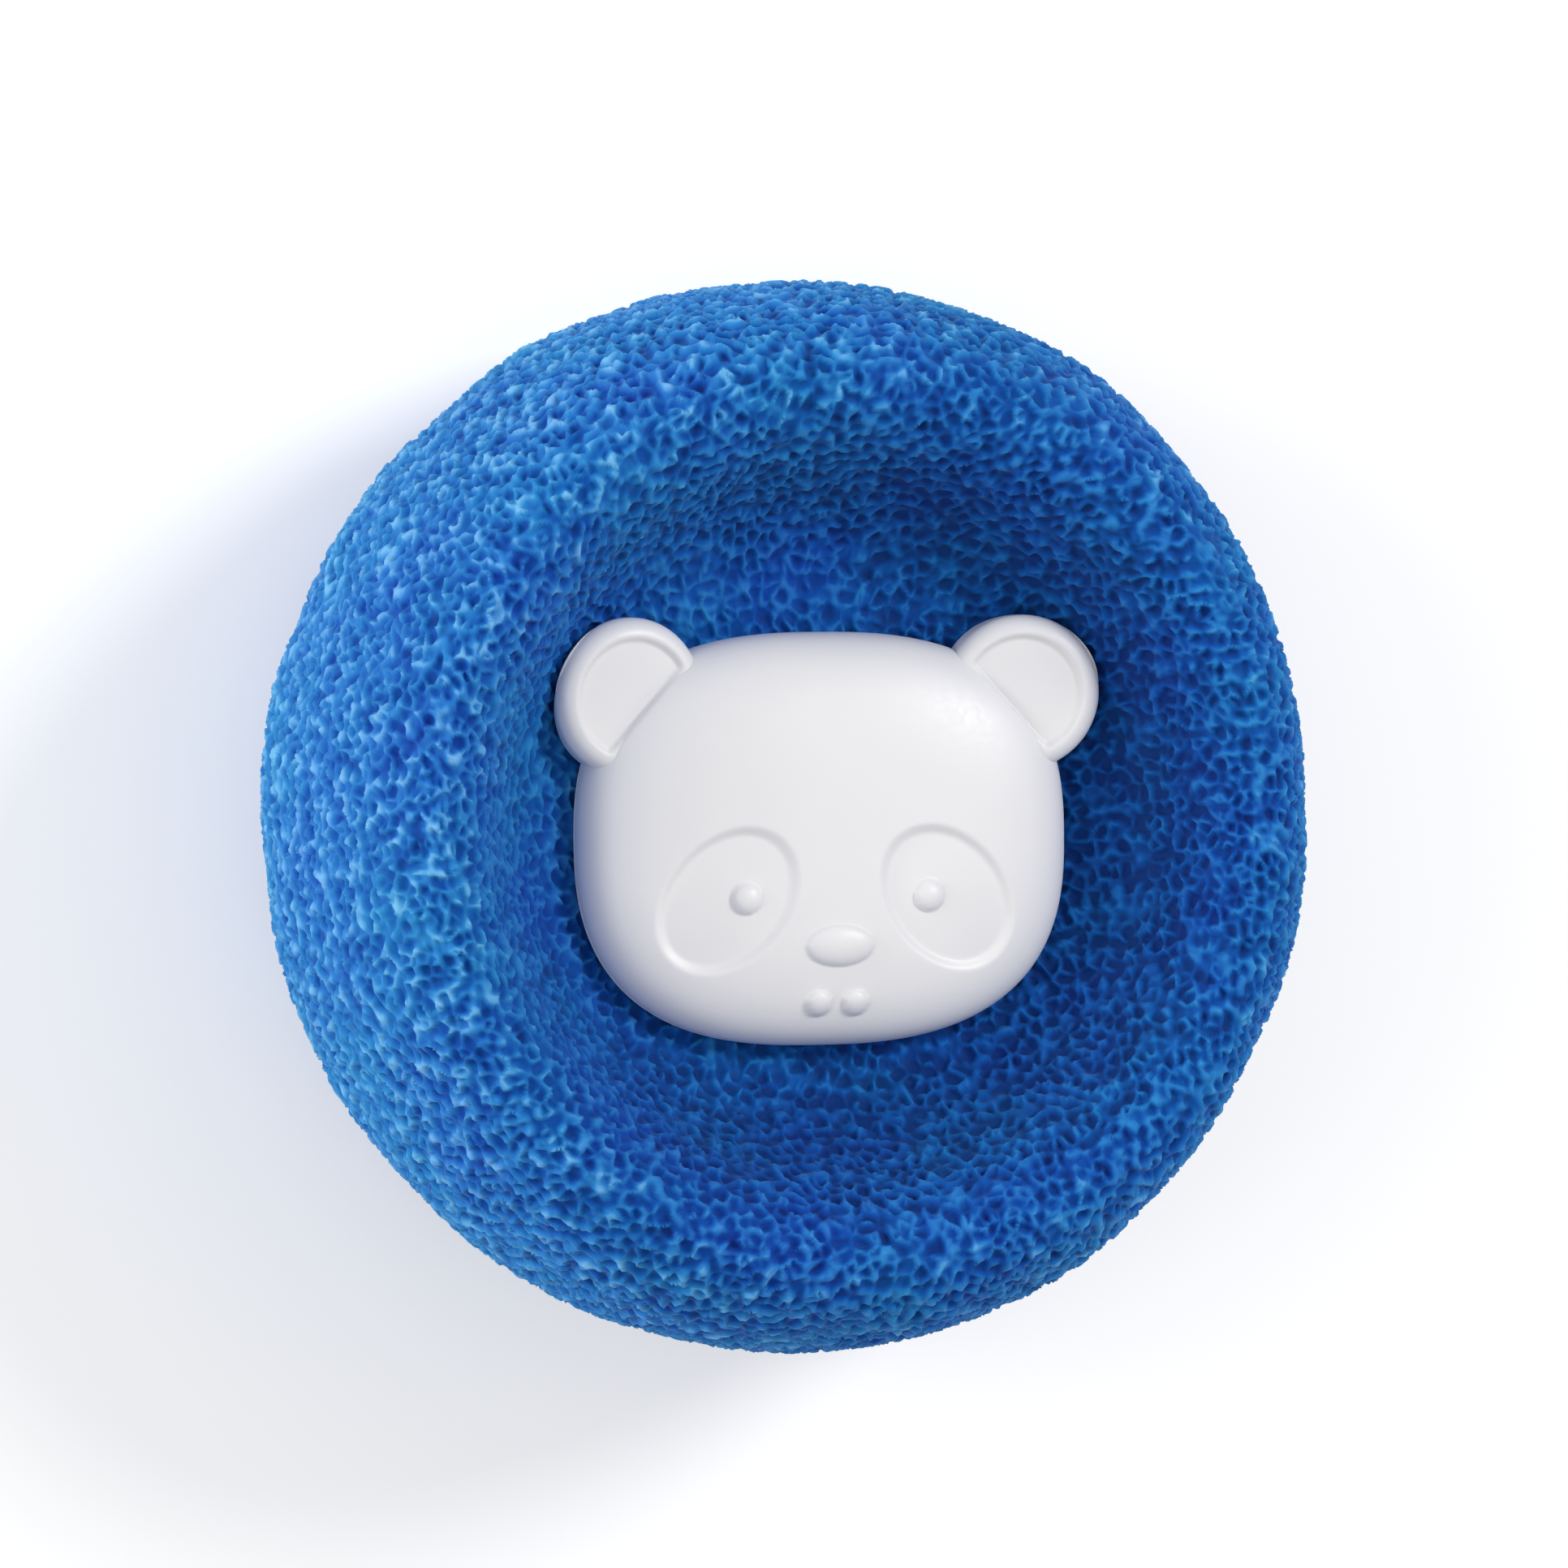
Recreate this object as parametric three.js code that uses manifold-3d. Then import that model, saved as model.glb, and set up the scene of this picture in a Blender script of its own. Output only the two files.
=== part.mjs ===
// Pet hair laundry ball: a ring of open-cell foam clamped between two bear-faced caps.
// Both caps come from one mould and snap onto a post that runs through the foam.
// Millimetres, +Z up. The ball lies on its rear face: the front bear looks up, with its ears towards +Y.
import * as THREE from 'three';
import { mergeVertices } from 'three/addons/utils/BufferGeometryUtils.js';
import Module from 'manifold-3d';

const wasm = await Module();
wasm.setup();

// Foam ring
const foamWidth = 62.8;
const foamHeight = 65.6; // the soft outside is a little taller than wide
const foamThickness = 36; // between the two flats that it can stand on
const standDepth = 0.5; // how much of each round crest is cut flat
const crestDiameter = 52; // ring where the foam is thickest
const webThickness = 16; // foam left between the two bowls
const bowlFloorDiameter = 26;
const floorPull = 8.5; // how far the bowl's curve keeps to the floor, as a curve handle
const crestPull = 5.5; // and how far it keeps to the crest
const roundDiameter = 40; // the bowls stay round up to here, for the caps to turn in

// Bear cap: head
const headWidth = 30.8;
const headHeight = 25;
const headDrop = 1.1; // from the post down to the middle of the head
const headSquareness = 2.6; // power of the outline: 2 is an ellipse
const crownSquareness = 3; // power of the crown's section: 2 is round
const crownAboveEars = 1.8; // from the middle of an ear
const shellWall = 1.6;

// Bear cap: ears, placed from the middle of the head
const earDiameter = 9.5;
const earSpacing = 24.3;
const earRise = 8.6;
const earLean = 12; // degrees that the ears tip up towards the bowl's wall
const earTipThickness = 1.1;
const earRound = 1;
const earRimWidth = 1;
const earRecess = 0.4;
const creaseReach = 13.8; // from the head's middle to the straight edge of an ear's recess
const creaseTurn = 42; // degrees that this edge's direction turns up from level

// Bear cap: face, placed from the middle of the head
const patchLength = 9.3;
const patchWidth = 7;
const patchTilt = 47; // degrees
const patchSpacing = 13.7;
const patchDrop = 3.5;
const patchDepth = 0.4;
const eyeDiameter = 1.8;
const eyeSpacing = 11.4;
const eyeDrop = 3.4;
const noseWidth = 4.2;
const noseHeight = 2.4;
const noseDrop = 6.3;
const noseRelief = 0.6;
const lipDiameter = 1.5;
const lipSpacing = 2.3;
const lipDrop = 9.8;

// Post, and the socket and ribs behind each cap
const postDiameter = 4.6;
const postChamfer = 0.6;
const beadHeight = 0.2;
const beadWidth = 1.4;
const beadInset = 2.6; // from the post's end
const slitWidth = 0.8;
const slitDepth = 5.5;
const collarThickness = 1.6;
const socketWall = 1.5;
const grooveDepth = 0.35;
const ribThickness = 1;
const ribSetback = 1.2;

// Clearances
const seatClearance = 0.4; // cap to foam, all the way round as it turns
const fitClearance = 0.3; // post to socket, socket to bore, and end gaps

// Facets
const foamSegments = 40;
const bowlSteps = 8;
const sideSteps = 5;
const headSegments = 44;
const crownSteps = 8;
const earSegments = 28;
const postSegments = 28;
const dotSegments = 12;

// Finishes
const foamFinish = { color: '#1f5fae', roughness: 0.8 };
const capFinish = { color: '#efedee', roughness: 0.35 };
const postFinish = { color: '#e6e4e2', roughness: 0.4 };

// Sizes worked out from those above, with heights from the ball's middle plane
const foamRadius = (foamWidth + foamHeight) / 4; // the mean of both ways
const stretch = (foamHeight - foamWidth) / 4; // how far the outside departs from round
const roundRadius = roundDiameter / 2;
const crestRadius = crestDiameter / 2;
const floorRadius = bowlFloorDiameter / 2;
const floorHeight = webThickness / 2;
const standHeight = foamThickness / 2;
const crestHeight = standHeight + standDepth;
const postRadius = postDiameter / 2;
const socketRadius = postRadius + fitClearance;
const socketOuterRadius = socketRadius + socketWall;
const boreRadius = socketOuterRadius + fitClearance;
const socketEnd = collarThickness / 2 + fitClearance;
const earRadius = earDiameter / 2;
const earLeanAngle = THREE.MathUtils.degToRad(earLean);
const earMiddle = new THREE.Vector2(earSpacing / 2, earRise - headDrop);
const earTip = earMiddle.length() + earRadius * Math.cos(earLeanAngle);
const earTipFront = bowlHeight(earTip) + seatClearance + earTipThickness;
const earFront = earTipFront - earRadius * Math.sin(earLeanAngle);
const crownTop = earFront + crownAboveEars;
const socketTop = crownTop - shellWall;
const postEnd = socketTop - fitClearance;
const beadAt = postEnd - beadInset;

// Bowl profile from the floor's edge out to the crest, with the crest cut flat, lifted by a clearance
function bowlPoints(lift) {
  const curve = new THREE.CubicBezierCurve(
    new THREE.Vector2(floorRadius, floorHeight),
    new THREE.Vector2(floorRadius + floorPull, floorHeight),
    new THREE.Vector2(crestRadius - crestPull, crestHeight),
    new THREE.Vector2(crestRadius, crestHeight),
  );
  return curve.getPoints(bowlSteps).map((point) => (
    new THREE.Vector2(point.x, Math.min(point.y, standHeight) + lift)
  ));
}

// Height of the bowl at a radius, along the straight steps of its profile
function bowlHeight(radius) {
  const points = bowlPoints(0);
  const next = points.findIndex((point) => point.x > radius);
  if (next < 0) return standHeight;
  if (next === 0) return floorHeight;
  const inner = points[next - 1];
  const outer = points[next];
  return THREE.MathUtils.mapLinear(radius, inner.x, outer.x, inner.y, outer.y);
}

// Turns a profile of radius and height about Z
function revolve(points, segments) {
  return new THREE.LatheGeometry(points, segments).rotateX(Math.PI / 2);
}

// Makes a closed geometry a solid that can be joined and cut
function solid(geometry) {
  const bare = geometry.clone();
  bare.deleteAttribute('normal');
  bare.deleteAttribute('uv');
  const merged = mergeVertices(bare);
  const vertProperties = merged.getAttribute('position').array;
  const triVerts = new Uint32Array(merged.index.array);
  return new wasm.Manifold(new wasm.Mesh({ numProp: 3, vertProperties, triVerts }));
}

// Makes a solid a geometry again
function geometryOf(body) {
  const mesh = body.getMesh();
  const geometry = new THREE.BufferGeometry();
  geometry.setAttribute('position', new THREE.BufferAttribute(mesh.vertProperties, 3));
  geometry.setIndex(new THREE.BufferAttribute(mesh.triVerts, 1));
  geometry.computeVertexNormals();
  return geometry;
}

// Foam: bore, bowl, flat and round side of the upper half, mirrored for the lower half
function foamGeometry() {
  const upper = [new THREE.Vector2(boreRadius, floorHeight), ...bowlPoints(0)];
  const sideStart = Math.asin(standHeight / crestHeight);
  for (let i = 0; i < sideSteps; i += 1) {
    const angle = sideStart * (1 - i / sideSteps);
    const radius = crestRadius + (foamRadius - crestRadius) * Math.cos(angle);
    upper.push(new THREE.Vector2(radius, crestHeight * Math.sin(angle)));
  }
  const lower = upper.map((point) => new THREE.Vector2(point.x, -point.y));
  const equator = new THREE.Vector2(foamRadius, 0);
  const profile = [...lower, equator, ...upper.reverse(), lower[0].clone()];
  return stretchOutside(solid(revolve(profile, foamSegments)));
}

// Makes the foam's outside taller than wide, with a soft start where the bowls stop being round
function stretchOutside(body) {
  const stretched = body.warp((point) => {
    const radius = Math.hypot(point[0], point[1]);
    const share = THREE.MathUtils.smoothstep(radius, roundRadius, foamRadius);
    const shift = share * stretch * Math.cos(2 * Math.atan2(point[1], point[0]));
    point[0] *= 1 - shift / radius;
    point[1] *= 1 - shift / radius;
  });
  return geometryOf(stretched);
}

// Space that the foam keeps as the caps turn: everything under the bowl, with the seat clearance
function seatSolid() {
  const bowl = bowlPoints(seatClearance);
  const rim = bowl.at(-1);
  const edge = foamHeight;
  const profile = [
    new THREE.Vector2(0, -crestHeight),
    new THREE.Vector2(edge, -crestHeight),
    new THREE.Vector2(edge, rim.y),
    ...bowl.reverse(),
    new THREE.Vector2(0, floorHeight + seatClearance),
  ];
  return solid(revolve(profile, foamSegments));
}

// Head-shaped solid: a crown of the given size over straight sides that run down past the bowl's floor
function headSolid(width, height, top) {
  const rise = top - floorHeight;
  const profile = [new THREE.Vector2(0, 0), new THREE.Vector2(1, 0)];
  for (let i = 0; i <= crownSteps; i += 1) {
    const angle = (Math.PI / 2) * (i / crownSteps);
    const across = Math.cos(angle) ** (2 / crownSquareness);
    const up = Math.sin(angle) ** (2 / crownSquareness);
    profile.push(new THREE.Vector2(i === crownSteps ? 0 : across, floorHeight + rise * up));
  }
  const geometry = revolve(profile, headSegments);
  const position = geometry.getAttribute('position');
  for (let i = 0; i < position.count; i += 1) {
    const x = position.getX(i);
    const y = position.getY(i);
    const reach = headReach(Math.atan2(y, x), width / 2, height / 2);
    position.setXY(i, x * reach, y * reach);
  }
  return solid(geometry.translate(0, -headDrop, 0));
}

// Distance from the head's middle to its outline, which is a superellipse
function headReach(angle, halfWidth, halfHeight) {
  const across = Math.abs(Math.cos(angle) / halfWidth) ** headSquareness;
  const up = Math.abs(Math.sin(angle) / halfHeight) ** headSquareness;
  return (across + up) ** (-1 / headSquareness);
}

// Leans a geometry made about the origin with the bowl, and moves it to an ear's middle
function placeOnEar(geometry, side) {
  const middle = new THREE.Vector3(side * earMiddle.x, earMiddle.y, earFront);
  const hinge = new THREE.Vector3(-middle.y, middle.x, 0).normalize();
  const lean = new THREE.Matrix4().makeRotationAxis(hinge, -earLeanAngle);
  return geometry.applyMatrix4(lean).translate(middle.x, middle.y, middle.z);
}

// Ear: a disc with a rounded front edge that runs down past the bowl
function earSolid(side) {
  const bevel = earRound * (1 - Math.SQRT1_2);
  const profile = [
    new THREE.Vector2(0, -earFront),
    new THREE.Vector2(earRadius, -earFront),
    new THREE.Vector2(earRadius, -earRound),
    new THREE.Vector2(earRadius - bevel, -bevel),
    new THREE.Vector2(earRadius - earRound, 0),
    new THREE.Vector2(0, 0),
  ];
  return solid(placeOnEar(revolve(profile, earSegments), side));
}

// Recess of an ear: a round cut inside the rim that ends at a straight edge along the head
function recessSolid(side) {
  const innerRadius = earRadius - earRimWidth;
  const profile = [
    new THREE.Vector2(0, -earRecess),
    new THREE.Vector2(innerRadius - earRecess, -earRecess),
    new THREE.Vector2(innerRadius + earRecess, earRecess),
    new THREE.Vector2(0, earRecess),
  ];
  const turn = THREE.MathUtils.degToRad(creaseTurn);
  const beyond = new THREE.BoxGeometry(2 * earDiameter, 2 * earDiameter, 2 * crownTop);
  beyond.translate(creaseReach + earDiameter, 0, crownTop);
  beyond.rotateZ(side > 0 ? turn : Math.PI - turn).translate(0, -headDrop, 0);
  return solid(placeOnEar(revolve(profile, earSegments), side)).intersect(solid(beyond));
}

// Height of the crown over a point of the face, placed from the middle of the head
function crownHeight(x, y) {
  const share = Math.hypot(x, y) / headReach(Math.atan2(y, x), headWidth / 2, headHeight / 2);
  const rise = crownTop - floorHeight;
  return floorHeight + rise * (1 - share ** crownSquareness) ** (1 / crownSquareness);
}

// Eye patch: a tilted oval cut that follows the crown at an even depth
function patchSolid(side, underCrown) {
  const oval = new THREE.CylinderGeometry(1, 1, crownTop, headSegments).rotateX(Math.PI / 2);
  oval.scale(patchLength / 2, patchWidth / 2, 1);
  oval.rotateZ(side * THREE.MathUtils.degToRad(-patchTilt));
  oval.translate((side * patchSpacing) / 2, -patchDrop - headDrop, crownTop);
  return solid(oval).subtract(underCrown);
}

// Round feature that stands half out of the crown, or of a surface sunk below it
function dotSolid(x, y, sizes, sunk) {
  const dot = new THREE.SphereGeometry(0.5, dotSegments, dotSegments / 2).rotateX(Math.PI / 2);
  dot.scale(...sizes);
  dot.translate(x, y - headDrop, crownHeight(x, y) - sunk);
  return solid(dot);
}

// Socket: a tube that takes the post, with a groove for the post's bead
function socketSolid() {
  const embedded = socketTop + shellWall / 2;
  const grooveRadius = socketRadius + grooveDepth;
  const profile = [
    new THREE.Vector2(socketRadius, socketEnd),
    new THREE.Vector2(socketOuterRadius, socketEnd),
    new THREE.Vector2(socketOuterRadius, embedded),
    new THREE.Vector2(socketRadius, embedded),
    new THREE.Vector2(socketRadius, beadAt + beadWidth),
    new THREE.Vector2(grooveRadius, beadAt + beadWidth / 2),
    new THREE.Vector2(grooveRadius, beadAt - beadWidth / 2),
    new THREE.Vector2(socketRadius, beadAt - beadWidth),
    new THREE.Vector2(socketRadius, socketEnd),
  ];
  return solid(revolve(profile, postSegments));
}

// Ribs: two crossed webs that tie the socket to the shell, cut away where the post goes
function ribsSolid(head) {
  const low = floorHeight + seatClearance + ribSetback;
  const tall = crownTop - low;
  const web = new THREE.BoxGeometry(headWidth, ribThickness, tall);
  web.translate(0, 0, low + tall / 2);
  const post = new THREE.CylinderGeometry(socketRadius, socketRadius, socketTop, postSegments);
  post.rotateX(Math.PI / 2).translate(0, 0, socketTop / 2);
  const first = solid(web.clone().rotateZ(Math.PI / 4));
  const second = solid(web.clone().rotateZ(-Math.PI / 4));
  return first.add(second).intersect(head).subtract(solid(post));
}

// Bear cap: shell, ears, face, socket and ribs as one moulding
function capGeometry() {
  const head = headSolid(headWidth, headHeight, crownTop);
  const underCrown = headSolid(headWidth, headHeight, crownTop - patchDepth);
  const hollow = headSolid(headWidth - 2 * shellWall, headHeight - 2 * shellWall, socketTop);
  const eye = [eyeDiameter, eyeDiameter, eyeDiameter];
  const lip = [lipDiameter, lipDiameter, lipDiameter];
  const nose = [noseWidth, noseHeight, 2 * noseRelief];
  let cap = head;
  for (const side of [-1, 1]) {
    cap = cap.add(earSolid(side)).subtract(recessSolid(side));
    cap = cap.subtract(patchSolid(side, underCrown));
    cap = cap.add(dotSolid((side * eyeSpacing) / 2, -eyeDrop, eye, patchDepth));
    cap = cap.add(dotSolid((side * lipSpacing) / 2, -lipDrop, lip, 0));
  }
  cap = cap.add(dotSolid(0, -noseDrop, nose, 0));
  const shell = cap.subtract(hollow).subtract(seatSolid());
  return geometryOf(shell.add(ribsSolid(head)).add(socketSolid()));
}

// Post: a collar that sets the caps apart, a snap bead near each end and a slit that lets the ends give
function postGeometry() {
  const upper = [
    new THREE.Vector2(socketOuterRadius, collarThickness / 2),
    new THREE.Vector2(postRadius, collarThickness / 2),
    new THREE.Vector2(postRadius, beadAt - beadWidth / 2),
    new THREE.Vector2(postRadius + beadHeight, beadAt),
    new THREE.Vector2(postRadius, beadAt + beadWidth / 2),
    new THREE.Vector2(postRadius, postEnd - postChamfer),
    new THREE.Vector2(postRadius - postChamfer, postEnd),
    new THREE.Vector2(0, postEnd),
  ];
  const lower = upper.map((point) => new THREE.Vector2(point.x, -point.y)).reverse();
  let post = solid(revolve([...lower, ...upper], postSegments));
  const slit = new THREE.BoxGeometry(slitWidth, 2 * postDiameter, 2 * slitDepth);
  for (const end of [-1, 1]) {
    post = post.subtract(solid(slit.clone().translate(0, 0, end * postEnd)));
  }
  return geometryOf(post);
}

function piece(name, geometry, finish) {
  const mesh = new THREE.Mesh(geometry, new THREE.MeshStandardMaterial(finish));
  mesh.name = name;
  return mesh;
}

const ball = new THREE.Group();
ball.position.z = standHeight;
ball.add(piece('foam_ring', foamGeometry(), foamFinish));
ball.add(piece('centre_post', postGeometry(), postFinish));
ball.add(piece('front_bear_cap', capGeometry(), capFinish));

const rearSide = new THREE.Group();
rearSide.rotation.y = Math.PI;
rearSide.add(piece('rear_bear_cap', capGeometry(), capFinish));
ball.add(rearSide);

const laundryBall = new THREE.Group();
laundryBall.add(ball);

export default laundryBall;
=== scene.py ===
import itertools
import math

import bpy
import numpy as np
from mathutils import Matrix, Vector


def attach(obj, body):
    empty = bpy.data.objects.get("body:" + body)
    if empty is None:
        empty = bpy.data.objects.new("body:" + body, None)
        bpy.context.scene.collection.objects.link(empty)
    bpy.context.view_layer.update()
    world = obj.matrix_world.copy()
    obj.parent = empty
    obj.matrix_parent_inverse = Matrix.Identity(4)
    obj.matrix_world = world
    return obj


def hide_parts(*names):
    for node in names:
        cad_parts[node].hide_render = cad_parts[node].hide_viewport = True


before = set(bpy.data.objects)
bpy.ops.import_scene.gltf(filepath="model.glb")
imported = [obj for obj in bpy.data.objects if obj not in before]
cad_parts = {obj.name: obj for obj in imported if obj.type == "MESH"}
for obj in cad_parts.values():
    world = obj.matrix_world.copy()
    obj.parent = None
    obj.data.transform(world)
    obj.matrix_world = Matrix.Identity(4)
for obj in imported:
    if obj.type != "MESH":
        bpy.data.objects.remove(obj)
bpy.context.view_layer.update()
print("frame loaded:", ", ".join(sorted(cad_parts)))

mm = 0.001
midHeight = 18.0  # mm from the floor to the ball's middle plane, where the shapes below have their zero
chance = np.random.default_rng(11)


# 0 below low, 1 above high, and 3t^2 - 2t^3 between
def smoothStep(low, high, x):
    t = np.clip((x - low) / (high - low), 0, 1)
    return t * t * (3 - 2 * t)


# cubic curve between a and d that leaves a towards b and reaches d from c
def bezier(a, b, c, d, t):
    return a * (1 - t) ** 3 + 3 * b * t * (1 - t) ** 2 + 3 * c * t * t * (1 - t) + d * t ** 3


# corner numbers of the quads of a grid of rows and columns, which can close on itself either way
def gridQuads(rows, columns, loopRows=False, loopColumns=True):
    i = np.arange(rows if loopRows else rows - 1)[:, None]
    j = np.arange(columns if loopColumns else columns - 1)[None, :]
    iNext, jNext = (i + 1) % rows, (j + 1) % columns
    corners = (i * columns + j, i * columns + jNext, iNext * columns + jNext, iNext * columns + j)
    return np.stack(np.broadcast_arrays(*corners), -1).reshape(-1, 4)


# triangles from one point to each step of a closed ring
def poleTriangles(pole, ringStart, columns, upward):
    j = np.arange(columns)
    here, there = ringStart + j, ringStart + (j + 1) % columns
    pair = (here, there) if upward else (there, here)
    return np.stack([np.full(columns, pole), *pair], -1)


# object from points in mm above the middle plane, its quads and triangles, and a tone for each point
def makePiece(name, points, quads, triangles=None, tone=None):
    triangles = np.zeros((0, 3), int) if triangles is None else triangles
    mesh = bpy.data.meshes.new(name)
    mesh.vertices.add(len(points))
    mesh.vertices.foreach_set("co", ((points + (0, 0, midHeight)) * mm).astype(np.float32).ravel())
    corners = np.concatenate([quads.ravel(), triangles.ravel()]).astype(np.int32)
    starts = np.concatenate([np.arange(len(quads)) * 4, quads.size + np.arange(len(triangles)) * 3])
    mesh.loops.add(len(corners))
    mesh.loops.foreach_set("vertex_index", corners)
    mesh.polygons.add(len(starts))
    mesh.polygons.foreach_set("loop_start", starts.astype(np.int32))
    mesh.polygons.foreach_set("use_smooth", np.ones(len(starts), bool))
    if tone is not None:
        tones = mesh.attributes.new("tone", "FLOAT", "POINT").data
        tones.foreach_set("value", tone.astype(np.float32))
    mesh.update(calc_edges=True)
    mesh.validate()
    piece = bpy.data.objects.new(name, mesh)
    bpy.context.scene.collection.objects.link(piece)
    return piece


# camera: the ball lies on its rear face, and the photograph looks down on the front bear
# from a little to its left
shot = {
    "lean": 16.0,        # degrees that the view leans to the ball's left
    "nod": 1.5,          # degrees that it leans towards the ears
    "roll": 0.8,         # degrees anticlockwise
    "distance": 450.0,
    "frameWidth": 96.6,  # mm across the picture at the ball's middle
    "aim": (0.25, 2.0),  # mm right and up from the ball's middle to the picture's middle
    "clip": (0.01, 20),  # metres
}


# back points from the ball to the camera by the two leans, up is square to it and rolled about it, and the
# lens is the sensor's width times the distance over the frame's width
def makeCamera():
    lean, nod = math.radians(shot["lean"]), math.radians(shot["nod"])
    back = Vector((-math.sin(lean), math.cos(lean) * math.sin(nod), math.cos(lean) * math.cos(nod)))
    up = Vector((0, math.cos(nod), -math.sin(nod)))
    up = Matrix.Rotation(-math.radians(shot["roll"]), 3, back) @ up
    right = up.cross(back)
    aim = Vector((0, 0, midHeight)) + right * shot["aim"][0] + up * shot["aim"][1]
    data = bpy.data.cameras.new("shotCamera")
    data.lens = data.sensor_width * shot["distance"] / shot["frameWidth"]
    data.clip_start, data.clip_end = shot["clip"]
    camera = bpy.data.objects.new("shotCamera", data)
    turn = Matrix((right, up, back)).transposed().to_4x4()
    camera.matrix_world = Matrix.Translation((aim + back * shot["distance"]) * mm) @ turn
    bpy.context.scene.collection.objects.link(camera)
    bpy.context.scene.camera = camera


makeCamera()
print("camera set")

# foam ring, in mm
foam = {
    "radius": 32.2,
    "crest": (26.0, 18.5),   # radius and height where it is thickest
    "floor": (13.0, 8.0),    # edge of the bowl's flat floor
    "floorPull": 8.5,
    "crestPull": 5.5,
    "bore": 4.4,
    "boreRound": 0.8,
    "stand": 18.0,           # the rear crest has settled flat at this depth
    "step": 0.18,            # mesh size along the section
    "turns": 1100,           # mesh steps round
    "loose": 20.0,           # outside this radius it stretches, bulges and has lumps
    "outOfRound": 0.022,     # share that it is taller and narrower than round
    "bulge": (50, 26, 0.6),  # degrees round, degrees wide, mm high
    "lumps": 0.1,            # spread of the height of the long lumps
    "lumpWaves": (14, 7, 15),         # count, shortest and longest
    "mottleWaves": (48, 1.2, 2.6),
    "breakWaves": (48, 0.7, 1.3),
    "pore": 0.92,
    "poreSeed": 5,           # picks the places of the pores
    "poreDepth": 0.56,
    "wall": 0.3,             # half thickness of the cell walls, as a share of a pore
    "wallTop": (0.7, 0.3),   # height of the walls, and its spread
    "tone": (0.17, 0.57),    # tone in the pores, which is painted shade, and what the walls add to it
    "wallKeeps": 0.4,        # share of the painted shade that the walls don't take
    "mottle": 0.1,           # spread of the tone in patches
    "pressed": (19, 27),     # the cells are pressed inside the first radius, free outside the second
    "flatten": 0.2,          # share of the pores' depth and the walls' tone that pressing takes away
    "even": 0.6,             # share of the patches that it takes away
    "bowlShade": 0.3,        # painted shade: tone lost in the bowls, where the cells are pressed
    "foot": (14, 20),        # foot of the caps: all inside the first radius, none outside the second
    "footSpared": 0.6,       # share of that painted shade that the foot is spared
    "paintedSideLight": (166, 0.16, 0.3, 2.2),  # painted light and shade across the ball: degrees to the palest side, gain there, share opposite, at the foot
}


# bowl's wall: radius and height along a cubic curve, level at the floor's edge and level at the crest
def bowlCurve(t):
    (floorRadius, floorHeight), (crestRadius, crestHeight) = foam["floor"], foam["crest"]
    leave, arrive = floorRadius + foam["floorPull"], crestRadius - foam["crestPull"]
    radius = bezier(floorRadius, leave, arrive, crestRadius, t)
    height = bezier(floorHeight, floorHeight, crestHeight, crestHeight, t)
    return radius, height


# half section of radius and height: up the bore, round its edge, along the floor, up the bowl's wall to the
# crest and down a quarter ellipse to the widest ring; the other half is its mirror image
def foamSection():
    bore, edge = foam["bore"], foam["boreRound"]
    floorRadius, floorHeight = foam["floor"]
    crestRadius, crestHeight = foam["crest"]
    boreSteps, floorSteps, roundSteps, wallSteps = 12, 40, 90, 240
    quarter = np.linspace(0, np.pi / 2, roundSteps)
    wallRadius, wallHeight = bowlCurve(np.linspace(0, 1, wallSteps))
    radius = np.concatenate([
        np.full(boreSteps, bore),
        bore + edge - edge * np.cos(quarter),
        np.linspace(bore + edge, floorRadius, floorSteps),
        wallRadius,
        crestRadius + (foam["radius"] - crestRadius) * np.sin(quarter),
    ])
    height = np.concatenate([
        np.linspace(0, floorHeight - edge, boreSteps),
        floorHeight - edge + edge * np.sin(quarter),
        np.full(floorSteps, floorHeight),
        wallHeight,
        crestHeight * np.cos(quarter),
    ])
    radius = np.concatenate([radius, radius[::-1]])
    height = np.concatenate([height, -height[::-1]])
    keep = np.append(np.hypot(np.diff(radius), np.diff(height)) > 1e-6, True)  # drops doubled points
    radius, height = radius[keep], height[keep]
    along = np.append(0, np.cumsum(np.hypot(np.diff(radius), np.diff(height))))
    return along, radius, height


sectionAlong, sectionRadius, sectionHeight = foamSection()


# point at a length along the section and a turn about the axis, and its outward normal, which is square to
# the line from a little behind to a little ahead
def onFoam(along, turn):
    little = 0.02
    ahead, behind = along + little, along - little
    pick = lambda s, values: np.interp(s % sectionAlong[-1], sectionAlong, values)
    radius, height = pick(along, sectionRadius), pick(along, sectionHeight)
    outward = pick(ahead, sectionRadius) - pick(behind, sectionRadius)
    upward = pick(ahead, sectionHeight) - pick(behind, sectionHeight)
    size = np.hypot(outward, upward)
    outward, upward = outward / size, upward / size
    c, s = np.cos(turn), np.sin(turn)
    point = np.stack(np.broadcast_arrays(radius * c, radius * s, height), -1)
    normal = np.stack(np.broadcast_arrays(-upward * c, -upward * s, outward), -1)
    return point, normal


# a field of waves in random directions, with lengths in mm between two limits, mean 0 and spread 1
def waveField(count, shortest, longest):
    waves = chance.normal(size=(count, 3))
    waves *= (2 * np.pi / chance.uniform(shortest, longest, count) / np.linalg.norm(waves, axis=1))[:, None]
    phases = chance.uniform(0, 2 * np.pi, count)
    return lambda points: np.sin(points @ waves.T + phases).sum(-1) * math.sqrt(2 / count)


lumps = waveField(*foam["lumpWaves"])
mottle = waveField(*foam["mottleWaves"])
breaks = waveField(*foam["breakWaves"])


# how far the cells are pressed together: all the way in the bowls, and less by a smooth step of the radius
def pressedShare(point):
    return 1 - smoothStep(*foam["pressed"], np.hypot(point[..., 0], point[..., 1]))


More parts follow.
